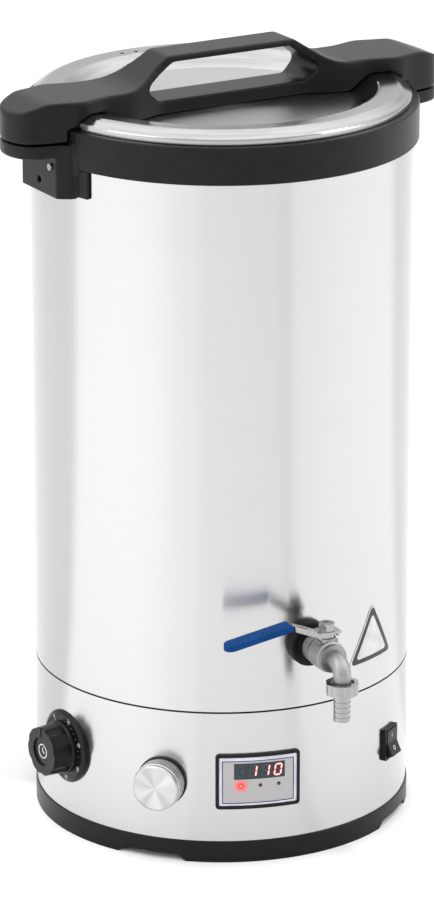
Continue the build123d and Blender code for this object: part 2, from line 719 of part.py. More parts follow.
def make_inlet_pins():
    """Three flat blades of the inlet, running through its floor."""
    pins = []
    for x in BLADE_X:
        pins.append(wall_frame(INLET_AT, INLET_Z) * block(x - 1.0, x + 1.0, -4.0, 4.0, -32.0, -5.0))
    return Compound(pins)


def make_badge():
    """Plain triangular badge with rounded corners on the wall beside the tap."""
    outline = make_face(RegularPolygon(BADGE_SIDE / sqrt(3), 3, rotation=90).wire())
    outline = fillet(outline.vertices(), 3.0)
    slab = Plane(origin=(0, 0, 0), x_dir=(1, 0, 0), z_dir=(0, -1, 0)) * extrude(outline, WALL_R + 20)
    return placed(slab & ring(WALL_R + 0.45, WALL_R + 0.05, -60, 60), BADGE_AT, BADGE_Z)


# ---------------------------------------------------------------- tap


def along_tap(shape):
    """Place a shape made along +Z from the kettle axis onto the tap's flow line."""
    return wall_frame(TAP_AT, TAP_Z, 0.0) * shape


def upright_at(out, shape):
    """Place an upright shape, made about the origin, on the flow line at a distance from the axis."""
    a = radians(TAP_AT)
    return Pos(out * sin(a), -out * cos(a), 0) * Rot(0, 0, TAP_AT) * shape


def make_valve_body():
    """Ball valve body: threaded neck, round barrel, stepped outlet ring and stem boss."""
    body = disc(THREAD_R, 144.0, 181.0)
    barrel = [(0, 172.5), (12.4, 172.5), (12.4, 183.0), (13.4, 186.0), (13.4, 201.5)]
    outlet = [(11.9, 202.5), (11.9, 206.8), (0, 206.8)]
    body += spun(barrel + outlet, [((12.4, 172.5), 1.5), ((13.4, 201.5), 0.6)])
    body = along_tap(body)
    body += upright_at(STEM_OUT, disc(7.6, TAP_Z + 4, 207.4) + block(-8.5, 8.5, -4.5, 4.5, 203.0, 205.4))
    body -= along_tap(disc(7.4, 140.0, 190.0))
    body -= along_tap(disc(9.7, 183.8, 203.6))
    body -= along_tap(disc(7.56, 203.0, 210.0))
    body -= upright_at(STEM_OUT, disc(4.0 + RUN, TAP_Z, 215.0))
    return body


def make_valve_gasket_outer():
    """Thick rubber washer outside the wall, shaped to it, with a raised hub."""
    washer = ring(19.3, THREAD_R + 0.1, 150.0, 168.6)
    rim = washer.edges().filter_by(GeomType.CIRCLE).sort_by(Axis.Z)[-2:]
    washer = fillet(rim.sort_by(lambda e: -e.radius)[0], 2.0)
    washer += ring(14.0, THREAD_R + 0.1, 168.0, 172.4)
    return along_tap(washer) & wall_band(WALL_R + 0.05)


def make_valve_gasket_inner():
    """Flat silicone washer inside the wall."""
    washer = along_tap(ring(16.0, THREAD_R + 0.1, 155.6, 162.0))
    return washer & disc(WALL_R - SHEET - 0.05, 100, 300)


def make_valve_locknut():
    """Hexagon nut that clamps the tap from inside."""
    nut = hexagon(27.0, 148.5, 155.5) - disc(THREAD_R + 0.05, 140, 160)
    return along_tap(nut)


def make_valve_seats():
    """Two seat rings that cup the ball."""
    seats = []
    for low, high in ((183.9, STEM_OUT - 5.6), (STEM_OUT + 5.6, 203.5)):
        seat = ring(9.65, PORT_R, low, high) - Pos(0, 0, STEM_OUT) * Sphere(BALL_R + RUN)
        seats.append(along_tap(seat))
    return Compound(seats)


def make_valve_ball():
    """Drilled ball, closed across the flow, with a slot for the stem."""
    ball = upright_at(STEM_OUT, Pos(0, 0, TAP_Z) * Sphere(BALL_R))
    ball -= upright_at(STEM_OUT, Pos(0, 0, TAP_Z) * Rot(0, 90, 0) * Cylinder(PORT_R, 40.0))
    ball -= upright_at(STEM_OUT, block(-5, 5, -5, 5, TAP_Z + 8.2, TAP_Z + 12))
    return ball - upright_at(STEM_OUT, block(-6, 6, -1.3, 1.3, TAP_Z + 6.8, TAP_Z + 12))


def make_valve_stem():
    """Stem with a flat tongue in the ball's slot and a threaded top."""
    stem = disc(4.0, TAP_Z + 8.4, 218.9) + block(-3.5, 3.5, -1.2, 1.2, TAP_Z + 6.9, TAP_Z + 9)
    return upright_at(STEM_OUT, stem)


def make_gland_nut():
    """Thin gland nut on the boss."""
    return upright_at(STEM_OUT, hexagon(12.0, 207.5, 209.2) - disc(4.0 + RUN, 200, 220))


def lever_strip(points, width, low, thickness):
    """Flat strip bent along points (distance, height) and centred on the lever's line."""
    path = [(x, low + z) for x, z in points]
    back = [(x, z + thickness) for x, z in reversed(path)]
    outline = make_face(Polyline(*path, *back, close=True))
    return Plane.XZ * extrude(outline, width / 2, both=True)


def make_lever_strap():
    """Pressed steel lever: hub with a stop tab, side flanges on the rise, and a tongue in the grip."""
    strap = lever_strip(LEVER_LINE[:3], 15.0, LEVER_LOW, 2.0)
    strap += lever_strip(LEVER_LINE[2:], 9.0, LEVER_LOW, 2.0)
    for side in (-1, 1):
        flange = lever_strip(((3.0, -2.2), (-9.5, -2.2), (-32.0, 7.4)), 1.6, LEVER_LOW, 3.6)
        strap += Pos(0, side * 6.7, 0) * flange
    strap += block(8.0, 10.0, -4.0, 4.0, LEVER_LOW - 3.5, LEVER_LOW + 1.0)
    strap -= disc(4.02, 200, 230)
    strap -= lever_slot()
    return upright_at(STEM_OUT, strap)


def lever_slot():
    """Long slot pressed through the strap's rise."""
    slot = extrude(SlotOverall(12.0, 3.4), 30.0)
    return Pos(-21.0, 0, 205.0) * slot


def make_lever_grip():
    """Blue dipped grip over the strap's tongue."""
    path = ((-33.5, 9.9), (-94.2, 0.5))
    grip = lever_strip(path, 14.6, LEVER_LOW - 1.4, 4.8)
    tip = grip.edges().filter_by(lambda e: abs(e.center().X + 94.2) < 1.0 and e.length < 7).sort_by(Axis.Y)
    grip = fillet([tip[0], tip[-1]], 7.0)
    grip = fillet(grip.faces().sort_by(Axis.Z)[-1].edges(), 1.6)
    grip -= lever_strip(LEVER_LINE[2:], 9.1, LEVER_LOW - 0.05, 2.1)
    return upright_at(STEM_OUT, grip)


def make_lever_nut():
    """Nut that holds the lever on the stem."""
    nut = hexagon(13.0, 213.6, 219.8) & spun([(0, 213.6), (7.5, 213.6), (7.5, 219.0), (6.6, 219.8), (0, 219.8)])
    return upright_at(STEM_OUT, nut - disc(4.02, 200, 230))


def make_valve_elbow():
    """Outlet elbow: a bent pipe from the valve, with an outside thread at its foot."""
    a = radians(TAP_AT)
    out = Vector(sin(a), -cos(a), 0)
    start = out * 203.7 + Vector(0, 0, TAP_Z)
    corner = out * OUTLET_OUT + Vector(0, 0, TAP_Z)
    foot = out * OUTLET_OUT + Vector(0, 0, ELBOW_FOOT)
    path = FilletPolyline(start, corner, foot, radius=ELBOW_BEND)
    section = Plane(origin=start, z_dir=out)
    pipe = sweep(section * Circle(7.5), path) - sweep(section * Circle(5.6), path)
    thread = ring(10.0, 7.4, ELBOW_FOOT, 175.2)
    return pipe + upright_at(OUTLET_OUT, thread)


def make_union_nut():
    """Ribbed union nut that hangs the hose tail on the elbow."""
    nut = hexagon(26.4, NUT_LOW, NUT_HIGH, sides=8)
    rib = Rot(0, 0, 22.5) * Pos(13.9, 0, 0) * disc(1.1, 161.0, 178.0)
    nut -= [Rot(0, 0, 45 * i) * rib for i in range(8)]
    nut &= disc(13.9, 160.0, 180.0)
    nut -= disc(10.0 + RUN, NUT_LOW + 2.0, 180.0)
    nut -= disc(TAIL_SHOULDER_R + RUN, 160.0, 172.0)
    return upright_at(OUTLET_OUT, nut)


def make_hose_tail():
    """Hose tail: flange and shoulder in the nut, over a ringed spigot of constant outer radius."""
    tail = disc(TAIL_R, 143.4, NUT_LOW) + disc(TAIL_SHOULDER_R, TAIL_SHOULDER_Z, NUT_LOW + 3.5)
    tail += disc(9.9, NUT_LOW + 2.1, NUT_LOW + 3.5)
    for z in (147.0, 151.5, 156.0, 160.5):
        tail -= ring(TAIL_R + 1.0, TAIL_R - 0.45, z, z + 0.9)
    tail -= disc(5.4, 140.0, 170.0)
    return upright_at(OUTLET_OUT, tail)


def make_hose_tail_washer():
    """Flat washer between the hose tail and the elbow's foot."""
    return upright_at(OUTLET_OUT, ring(9.6, 5.6, NUT_LOW + 3.55, ELBOW_FOOT - 0.05))


# ---------------------------------------------------------------- assembly

side_handle = make_side_handle()

PARTS = {
    "base_ring": make_base_ring(),
    "base_plate": make_base_plate(),
    "base_plate_screws": make_base_plate_screws(),
    "skirt_shell": make_skirt(),
    "kettle_vessel": make_kettle(),
    "collar": make_collar(),
    "side_handle_right": side_handle,
    "side_handle_left": Rot(0, 0, 180) * side_handle,
    "side_handle_screws": make_side_handle_screws(),
    "lid_shell": make_lid_shell(),
    "lid_seal": make_lid_seal(),
    "lid_bar": make_lid_bar(),
    "lid_screws": make_lid_screws(),
    "malt_pipe": make_malt_pipe(),
    "bottom_sieve": sieve(130.6, 167.6, ((30, 10), (50, 16), (70, 22), (90, 28), (110, 34)), TUBE_R + 0.2),
    "top_sieve": sieve(130.0, 560.0, ((30, 10), (50, 16), (70, 22), (90, 28), (110, 34)), TUBE_R + 0.4),
    "overflow_tube": make_overflow_tube(),
    "malt_pipe_bail": make_bail(),
    "element_plate": make_element_plate(),
    "heating_element": make_heating_element(),
    "element_clamp": make_element_clamp(),
    "thermal_cutout": make_thermal_cutout(),
    "temperature_probe": make_temperature_probe(),
    "control_board": make_control_board(),
    "power_relay": make_relay(),
    "heat_sink": make_heat_sink(),
    "terminal_block": make_terminal_block(),
    "display_frame": make_display_frame(),
    "display_panel": make_display_panel(),
    "display_window": make_display_window(),
    "indicator_lamps": make_indicator_lamps(),
    "display_module": make_display_module(),
    "temperature_knob": make_temperature_knob(),
    "temperature_knob_seat": make_temperature_seat(),
    "potentiometer": make_potentiometer(),
    "potentiometer_shaft": make_potentiometer_shaft(),
    "timer_dial": make_timer_dial(),
    "timer_knob": make_timer_knob(),
    "timer_body": make_timer_body(),
    "timer_shaft": make_timer_shaft(),
    "switch_housing": make_switch_housing(),
    "rocker_button": make_rocker(),
    "mains_inlet": make_inlet(),
    "inlet_pins": make_inlet_pins(),
    "triangle_badge": make_badge(),
    "valve_body": make_valve_body(),
    "valve_gasket_outer": make_valve_gasket_outer(),
    "valve_gasket_inner": make_valve_gasket_inner(),
    "valve_locknut": make_valve_locknut(),
    "valve_seats": make_valve_seats(),
    "valve_ball": make_valve_ball(),
    "valve_stem": make_valve_stem(),
    "gland_nut": make_gland_nut(),
    "lever_strap": make_lever_strap(),
    "lever_grip": make_lever_grip(),
    "lever_nut": make_lever_nut(),
    "valve_elbow": make_valve_elbow(),
    "union_nut": make_union_nut(),
    "hose_tail": make_hose_tail(),
    "hose_tail_washer": make_hose_tail_washer(),
}

os.makedirs("parts", exist_ok=True)
for name, shape in PARTS.items():
    export_step(shape, f"parts/{name}.step")
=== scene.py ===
import json
import math

import bpy
from mathutils import Matrix, Vector


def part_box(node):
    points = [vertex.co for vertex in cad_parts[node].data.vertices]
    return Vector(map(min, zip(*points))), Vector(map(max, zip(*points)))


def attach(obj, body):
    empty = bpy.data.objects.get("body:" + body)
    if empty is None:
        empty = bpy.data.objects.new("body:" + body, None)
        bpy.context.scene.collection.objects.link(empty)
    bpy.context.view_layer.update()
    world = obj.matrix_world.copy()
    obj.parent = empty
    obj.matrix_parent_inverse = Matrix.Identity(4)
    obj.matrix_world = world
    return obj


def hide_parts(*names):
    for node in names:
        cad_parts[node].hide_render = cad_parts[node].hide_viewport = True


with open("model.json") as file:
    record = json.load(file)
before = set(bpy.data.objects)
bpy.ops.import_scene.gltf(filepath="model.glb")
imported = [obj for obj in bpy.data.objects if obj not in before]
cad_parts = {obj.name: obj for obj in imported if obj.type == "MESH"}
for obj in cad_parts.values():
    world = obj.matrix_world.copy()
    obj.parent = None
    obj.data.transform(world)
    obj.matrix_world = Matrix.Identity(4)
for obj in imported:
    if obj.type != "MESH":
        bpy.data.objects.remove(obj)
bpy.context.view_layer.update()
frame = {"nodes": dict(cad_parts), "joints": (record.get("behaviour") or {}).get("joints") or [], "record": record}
NODES = frame["nodes"]
JOINTS = {joint["name"]: joint for joint in frame["joints"]}
MM = 0.001

# Places on the round wall: azimuth in degrees from the front towards +X, height in metres
WALL_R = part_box("kettle_vessel")[1].x
DISPLAY_AT, DISPLAY_Z = -19.2, 0.073
SWITCH_AT, SWITCH_Z = 32.5, 0.0745
BADGE_AT, BADGE_Z = 22.0, 0.1757

# The three indicator lamps, from left to right: how far along the wall from the display's middle
LAMP_OFFSETS = (-14.8 * MM, 1.5 * MM, 17.4 * MM)
LAMP_Z = DISPLAY_Z - 3.9 * MM

# How far the controls' front planes stand out from the origins of their joints
TEMPERATURE_FACE_OUT = 20.0 * MM
TIMER_FACE_OUT = 22.9 * MM
DIAL_FACE_OUT = 2.6 * MM


# ------------------------------------------------------------------ node helpers


def new_material(name, color, metallic=0.0, roughness=0.5, **extra):
    """A Principled material. Values that don't vary over the surface sit on its own sockets."""
    mat = bpy.data.materials.new(name)
    mat.use_nodes = True
    shader = mat.node_tree.nodes["Principled BSDF"]
    shader.inputs["Base Color"].default_value = (*color, 1.0)
    shader.inputs["Metallic"].default_value = metallic
    shader.inputs["Roughness"].default_value = roughness
    for socket, value in extra.items():
        shader.inputs[socket.replace("_", " ")].default_value = value
    return mat, mat.node_tree, shader


def noise(tree, scale, stretch=(1, 1, 1), detail=3.0):
    """Noise over the object's own coordinates, in features per metre, stretched along the axes."""
    where = tree.nodes.new("ShaderNodeTexCoord")
    place = tree.nodes.new("ShaderNodeMapping")
    place.inputs["Scale"].default_value = stretch
    field = tree.nodes.new("ShaderNodeTexNoise")
    field.inputs["Scale"].default_value = scale
    field.inputs["Detail"].default_value = detail
    tree.links.new(where.outputs["Object"], place.inputs["Vector"])
    tree.links.new(place.outputs["Vector"], field.inputs["Vector"])
    return field.outputs["Fac"]


def between(tree, value, low, high, start=0.3, end=0.7):
    """A field mapped from start..end to low..high."""
    node = tree.nodes.new("ShaderNodeMapRange")
    node.inputs["From Min"].default_value = start
    node.inputs["From Max"].default_value = end
    node.inputs["To Min"].default_value = low
    node.inputs["To Max"].default_value = high
    tree.links.new(value, node.inputs["Value"])
    return node.outputs["Result"]


def mixed_color(tree, factor, first, second):
    """Colour between two ends. The second end is a colour or the output of another node."""
    mix = tree.nodes.new("ShaderNodeMix")
    mix.data_type = "RGBA"
    mix.inputs["A"].default_value = (*first, 1.0)
    if isinstance(second, tuple):
        mix.inputs["B"].default_value = (*second, 1.0)
    else:
        tree.links.new(second, mix.inputs["B"])
    tree.links.new(factor, mix.inputs["Factor"])
    return mix.outputs["Result"]


def tint(tree, shader, field, dark, light):
    """Base colour that varies between two colours with a field."""
    color = mixed_color(tree, between(tree, field, 0.0, 1.0), dark, light)
    tree.links.new(color, shader.inputs["Base Color"])


def roughen(tree, shader, field, low, high):
    """Roughness that varies with a field."""
    tree.links.new(between(tree, field, low, high), shader.inputs["Roughness"])


def emboss(tree, shader, field, distance, softened=0.0):
    """Bump from a field, its height in metres, with edges softened to a radius if one is given."""
    node = tree.nodes.new("ShaderNodeBump")
    node.inputs["Strength"].default_value = 1.0
    node.inputs["Distance"].default_value = distance
    if softened:
        edge = tree.nodes.new("ShaderNodeBevel")
        edge.samples = 6
        edge.inputs["Radius"].default_value = softened
        tree.links.new(edge.outputs["Normal"], node.inputs["Normal"])
    tree.links.new(field, node.inputs["Height"])
    tree.links.new(node.outputs["Normal"], shader.inputs["Normal"])


def around(tree, vector, stops, low, high):
    """A field that depends on the direction round the upright axis, from (azimuth, 0..1) stops."""
    parts = tree.nodes.new("ShaderNodeSeparateXYZ")
    turn = tree.nodes.new("ShaderNodeMath")
    turn.operation = "ARCTAN2"
    ramp = tree.nodes.new("ShaderNodeValToRGB")
    back = tree.nodes.new("ShaderNodeMath")
    back.operation = "MULTIPLY"
    back.inputs[1].default_value = -1.0
    tree.links.new(vector, parts.inputs["Vector"])
    tree.links.new(parts.outputs["Y"], back.inputs[0])
    tree.links.new(parts.outputs["X"], turn.inputs[0])
    tree.links.new(back.outputs["Value"], turn.inputs[1])
    round_once = between(tree, turn.outputs["Value"], 0.0, 1.0, -math.pi, math.pi)
    tree.links.new(round_once, ramp.inputs["Fac"])
    ramp.color_ramp.interpolation = "EASE"
    points = ramp.color_ramp.elements
    for index, (azimuth, level) in enumerate(stops):
        place = (azimuth + 180.0) / 360.0
        point = points[index] if index < 2 else points.new(place)
        point.position = place
        point.color = (level, level, level, 1.0)
    return between(tree, ramp.outputs["Color"], low, high, 0.0, 1.0)


def turned(tree, shader):
    """Makes the brushing run round the piece's own upright axis."""
    node = tree.nodes.new("ShaderNodeTangent")
    node.direction_type = "RADIAL"
    node.axis = "Z"
    tree.links.new(node.outputs["Tangent"], shader.inputs["Tangent"])


# ------------------------------------------------------------------ materials


def brushed_wall():
    """Bright stainless sheet with fine brushing round the kettle."""
    mat, tree, shader = new_material(
        "brushed_wall", (0.53, 0.53, 0.53), 1.0, 0.18, Anisotropic=0.8, Anisotropic_Rotation=0.25
    )
    turned(tree, shader)
    lines = noise(tree, 1.0, (4, 4, 2600), 2.0)
    tint(tree, shader, lines, (0.515, 0.515, 0.52), (0.545, 0.545, 0.545))
    roughen(tree, shader, lines, 0.16, 0.21)
    return mat


def polished_lid():
    """Lid sheet: polished ring with faint spinning marks round a satin recessed floor."""
    mat, tree, shader = new_material(
        "polished_lid", (0.4, 0.4, 0.4), 1.0, 0.16, Anisotropic=0.6, Anisotropic_Rotation=0.25
    )
    turned(tree, shader)
    streaks = noise(tree, 1.0, (14, 14, 420), 4.0)
    where = tree.nodes.new("ShaderNodeTexCoord")
    flat = tree.nodes.new("ShaderNodeVectorMath")
    flat.operation = "MULTIPLY"
    flat.inputs[1].default_value = (1.0, 1.0, 0.0)
    reach = tree.nodes.new("ShaderNodeVectorMath")
    reach.operation = "LENGTH"
    tree.links.new(where.outputs["Object"], flat.inputs[0])
    tree.links.new(flat.outputs["Vector"], reach.inputs[0])
    floor_edge, ring_edge = 108 * MM, 118 * MM
    on_ring = between(tree, reach.outputs["Value"], 0.0, 1.0, floor_edge, ring_edge)
    ring_shade = mixed_color(tree, between(tree, streaks, 0.0, 1.0), (0.34, 0.34, 0.345), (0.44, 0.44, 0.44))
    shade = mixed_color(tree, on_ring, (0.5, 0.5, 0.5), ring_shade)
    tree.links.new(shade, shader.inputs["Base Color"])
    tree.links.new(between(tree, on_ring, 0.3, 0.16, 0.0, 1.0), shader.inputs["Roughness"])
    return mat


def satin_steel(name, shade, low, high):
    """Plain steel with a cloudy satin finish."""
    mat, tree, shader = new_material(name, (shade,) * 3, 1.0, low)
    clouds = noise(tree, 350.0, (1, 1, 1), 4.0)
    tint(tree, shader, clouds, (shade * 0.9,) * 3, (shade * 1.05,) * 3)
    roughen(tree, shader, clouds, low, high)
    return mat


def cast_steel():
    """Investment-cast tap body: a fine pebbled skin."""
    mat, tree, shader = new_material("cast_steel", (0.5, 0.49, 0.47), 1.0, 0.4)
    grit = noise(tree, 1500.0, (1, 1, 1), 3.0)
    tint(tree, shader, grit, (0.2, 0.2, 0.197), (0.42, 0.42, 0.415))
    roughen(tree, shader, grit, 0.34, 0.48)
    emboss(tree, shader, grit, 0.00012)
    return mat


def moulded(name, color, low, high, grain=2600.0, height=0.00003, softened=0.0, **extra):
    """Moulded plastic or rubber: a fine even grain with soft cloudy wear."""
    mat, tree, shader = new_material(name, color, 0.0, low, **extra)
    lighter = tuple(c * 1.35 + 0.002 for c in color)
    tint(tree, shader, noise(tree, 90.0, (1, 1, 1), 4.0), color, lighter)
    pores = noise(tree, grain, (1, 1, 1), 2.0)
    roughen(tree, shader, pores, low, high)
    emboss(tree, shader, pores, height, softened)
    return mat


def glowing(name, color, strength):
    """Lit segment or lamp."""
    mat, _, shader = new_material(name, color, 0.0, 0.4)
    shader.inputs["Emission Color"].default_value = (*color, 1.0)
    shader.inputs["Emission Strength"].default_value = strength
    return mat


def fascia():
    """Printed film: neutral grey, with painted light of the red lamp fading out round it, in its colour and as a
    faint glow.
    """
    mat, tree, shader = new_material("fascia", (0.62, 0.61, 0.61), 0.0, 0.32)
    grain = noise(tree, 1200.0, (1, 1, 1), 2.0)
    where = tree.nodes.new("ShaderNodeTexCoord")
    away = tree.nodes.new("ShaderNodeVectorMath")
    away.operation = "DISTANCE"
    away.inputs[1].default_value = lamp_place(0)
    painted_lamp_glow = tree.nodes.new("ShaderNodeMapRange")
    painted_lamp_glow.interpolation_type = "SMOOTHERSTEP"
    painted_lamp_glow.inputs["From Min"].default_value = 0.5 * MM
    painted_lamp_glow.inputs["From Max"].default_value = 8.5 * MM
    painted_lamp_glow.inputs["To Min"].default_value = 1.0
    painted_lamp_glow.inputs["To Max"].default_value = 0.0
    tree.links.new(where.outputs["Object"], away.inputs[0])
    tree.links.new(away.outputs["Value"], painted_lamp_glow.inputs["Value"])
    # Painted light: red colour near the left lamp, fading to the film's grey.
    shade = mixed_color(tree, painted_lamp_glow.outputs["Result"], (0.36, 0.35, 0.355), (0.6, 0.05, 0.05))
    tree.links.new(shade, shader.inputs["Base Color"])
    roughen(tree, shader, grain, 0.28, 0.36)
    # Painted glow: the film gives off red light near the lamp, though it is no lamp.
    shader.inputs["Emission Color"].default_value = (1.0, 0.05, 0.04, 1.0)
    glow = tree.nodes.new("ShaderNodeMath")
    glow.operation = "MULTIPLY"
    glow.inputs[1].default_value = 0.35
    tree.links.new(painted_lamp_glow.outputs["Result"], glow.inputs[0])
    tree.links.new(glow.outputs["Value"], shader.inputs["Emission Strength"])
    return mat


# ------------------------------------------------------------------ shape helpers


def wall_point(azimuth, z, radius):
    """Point at an azimuth, height and distance from the kettle's axis."""
    a = math.radians(azimuth)
    return Vector((radius * math.sin(a), -radius * math.cos(a), z))


def lamp_azimuth(index):
    """Azimuth of one of the three indicator lamps."""
    return DISPLAY_AT + math.degrees(LAMP_OFFSETS[index] / WALL_R)


def lamp_place(index):
    """Centre of one of the three indicator lamps, a millimetre out from the wall."""
    return wall_point(lamp_azimuth(index), LAMP_Z, WALL_R + 1.0 * MM)


def on_wall(azimuth, z, radius=WALL_R):
    """Maps (u along the wall, v up, h outwards), in metres from a centre, onto the round wall."""
    return lambda u, v, h: wall_point(azimuth + math.degrees(u / WALL_R), z + v, radius + h)


def on_face(azimuth, z, tilt=0.0, pivot=0.0):
    """Maps (u right, v up, h outwards) onto a flat plane that stands on the wall, tilted about u."""
    a, t = math.radians(azimuth), math.radians(tilt)
    right = Vector((math.cos(a), math.sin(a), 0.0))
    out = Vector((math.sin(a), -math.cos(a), 0.0))
    up = Vector((0.0, 0.0, 1.0))
    centre = wall_point(azimuth, z, WALL_R + pivot)
    return lambda u, v, h: (
        centre
        + right * u
        + up * (v * math.cos(t) + h * math.sin(t))
        + out * (h * math.cos(t) - v * math.sin(t))
    )


def rounded(corners, radius, corner_steps=6, side_steps=10):
    """Outline of a convex polygon with round corners, as evenly counted points."""
    points = []
    count = len(corners)
    arcs = []
    for i, corner in enumerate(corners):
        c = Vector(corner)
        before = (Vector(corners[i - 1]) - c).normalized()
        after = (Vector(corners[(i + 1) % count]) - c).normalized()
        half = before.angle(after) / 2
        centre = c + (before + after).normalized() * (radius / math.sin(half))
        start = c + before * (radius / math.tan(half)) - centre
        turn = start.angle_signed(c + after * (radius / math.tan(half)) - centre)
        arc = []
        for k in range(corner_steps + 1):
            angle = -turn * k / corner_steps
            x = start.x * math.cos(angle) - start.y * math.sin(angle)
            y = start.x * math.sin(angle) + start.y * math.cos(angle)
            arc.append(centre + Vector((x, y)))
        arcs.append(arc)
    for i, arc in enumerate(arcs):
        points += arc
        end, begin = arc[-1], arcs[(i + 1) % count][0]
        for k in range(1, side_steps):
            points.append(end.lerp(begin, k / side_steps))
    return points


def rectangle(width, height, radius, x=0.0, y=0.0, **steps):
    """Rounded rectangle about a centre."""
    w, h = width / 2, height / 2
    return rounded([(x - w, y - h), (x + w, y - h), (x + w, y + h), (x - w, y + h)], radius, **steps)


def circle(radius, x=0.0, y=0.0, steps=48):
    """Circle as points."""
    turns = [2 * math.pi * k / steps for k in range(steps)]
    return [Vector((x + radius * math.cos(a), y + radius * math.sin(a))) for a in turns]


def scaled(outline, factor):
    """Outline drawn in or out about the origin."""
    return [p * factor for p in outline]


def add_mesh(name, vertices, faces, mat, body, smooth=False):
    """New piece from vertices and faces, riding on a CAD body."""
    mesh = bpy.data.meshes.new(name)
    mesh.from_pydata([tuple(v) for v in vertices], [], faces)
    mesh.validate()
    mesh.update()
    for polygon in mesh.polygons:
        polygon.use_smooth = smooth
    piece = bpy.data.objects.new(name, mesh)
    bpy.context.scene.collection.objects.link(piece)
    mesh.materials.append(mat)
    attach(piece, body)
    return piece


def inlay(name, shapes, place, low, high, mat, body):
    """Thin raised shapes. Each is an outline, or an outline and a hole in it with as many points."""
    vertices, faces = [], []
    for shape in shapes:
        outer, inner = shape if isinstance(shape, tuple) else (shape, None)
        n, base = len(outer), len(vertices)
        vertices += [place(p.x, p.y, low) for p in outer]
        vertices += [place(p.x, p.y, high) for p in outer]
        sides = [(base + i, base + (i + 1) % n, base + n + (i + 1) % n, base + n + i) for i in range(n)]
        faces += sides
        if inner is None:
            faces.append(tuple(base + n + i for i in range(n)))
            faces.append(tuple(base + i for i in reversed(range(n))))
            continue
        vertices += [place(p.x, p.y, low) for p in inner]
        vertices += [place(p.x, p.y, high) for p in inner]
        for i in range(n):
            j = (i + 1) % n
            faces.append((base + n + i, base + n + j, base + 3 * n + j, base + 3 * n + i))
            faces.append((base + j, base + i, base + 2 * n + i, base + 2 * n + j))
            faces.append((base + 2 * n + j, base + 2 * n + i, base + 3 * n + i, base + 3 * n + j))
    return add_mesh(name, vertices, faces, mat, body)


# ------------------------------------------------------------------ materials on the CAD nodes

BLACK = (0.002, 0.002, 0.0022)
WHITE_INK = moulded("white_ink", (0.5, 0.5, 0.5), 0.45, 0.55)
FILM_GRAIN = {"grain": 1200.0, "height": 0.000004}

SLOT_MATERIALS = {
    "steel_brushed": brushed_wall(),
    "lid_steel": polished_lid(),
    "black_plastic": moulded(
        "black_plastic", BLACK, 0.3, 0.38, height=0.00002, Specular_IOR_Level=0.2
    ),
    "control_black": moulded(
        "control_black", (0.003, 0.003, 0.0032), 0.24, 0.32, softened=0.5 * MM, Specular_IOR_Level=0.2
    ),
    "zinc_plate": satin_steel("zinc_plate", 0.4, 0.35, 0.5),
    "screw_steel": satin_steel("screw_steel", 0.48, 0.2, 0.3),
    "basket_steel": satin_steel("basket_steel", 0.48, 0.26, 0.36),
    "silicone": moulded("silicone", (0.55, 0.54, 0.5), 0.4, 0.5),
    "rubber": moulded("rubber", (0.003, 0.003, 0.003), 0.42, 0.55, Specular_IOR_Level=0.15),
    "cast_steel": cast_steel(),
    "bright_steel": satin_steel("bright_steel", 0.34, 0.13, 0.2),
    "blue_grip": moulded(
        "blue_grip", (0.003, 0.034, 0.13), 0.25, 0.3, grain=300.0, height=0.000004,
        softened=1.2 * MM, Specular_IOR_Level=0.03,
    ),
    "ptfe": moulded("ptfe", (0.8, 0.8, 0.78), 0.4, 0.5),
    "turned_aluminium": satin_steel("turned_aluminium", 0.5, 0.2, 0.28),
    "aluminium_plate": satin_steel("aluminium_plate", 0.48, 0.35, 0.5),
    "fascia_grey": fascia(),
    "smoked_window": moulded(
        "smoked_window", (0.003, 0.011, 0.017), 0.12, 0.16, grain=400.0, height=0.000001
    ),
    "lamp_red": glowing("lamp_red", (1.0, 0.12, 0.1), 1.2),
    "board_green": moulded("board_green", (0.02, 0.14, 0.05), 0.35, 0.45),
    "component_grey": moulded("component_grey", (0.07, 0.07, 0.075), 0.4, 0.5),
}

for row in frame["record"]["subparts"]:
    NODES[row["node"]].data.materials.clear()
    NODES[row["node"]].data.materials.append(SLOT_MATERIALS[row["material_slot"]])


# ------------------------------------------------------------------ mouldings with rounded edges


def mould(node, body, voxel, passes):
    """Moulding with the CAD node's shape and all its edges rounded over. It stands for that node."""
    source = NODES[node]
    blank = bpy.data.objects.new(node + "_blank", source.data.copy())
    bpy.context.scene.collection.objects.link(blank)
    blank.matrix_world = source.matrix_world
    remesh = blank.modifiers.new("even", "REMESH")
    remesh.mode = "VOXEL"
    remesh.voxel_size = voxel
    relax = blank.modifiers.new("round", "SMOOTH")
    relax.factor = 0.5
    relax.iterations = passes
    thin = blank.modifiers.new("thin", "DECIMATE")
    thin.ratio = 0.35
    evaluated = blank.evaluated_get(bpy.context.evaluated_depsgraph_get())
    mesh = bpy.data.meshes.new_from_object(evaluated)
    bpy.data.objects.remove(blank)
    for polygon in mesh.polygons:
        polygon.use_smooth = True
    piece = bpy.data.objects.new(node + "_moulding", mesh)
    piece.matrix_world = source.matrix_world
    bpy.context.scene.collection.objects.link(piece)
    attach(piece, body)
    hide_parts(node)


# ------------------------------------------------------------------ display


def segment(x, y, length, width, upright):
    """One bar of a seven-segment digit, pointed at both ends, before the slant."""
    l, w = length / 2, width / 2
    flat = [(-l, 0), (-l + w, -w), (l - w, -w), (l, 0), (l - w, w), (-l + w, w)]
    if upright:
        flat = [(b, a) for a, b in reversed(flat)]
    return [(x + a, y + b) for a, b in flat]


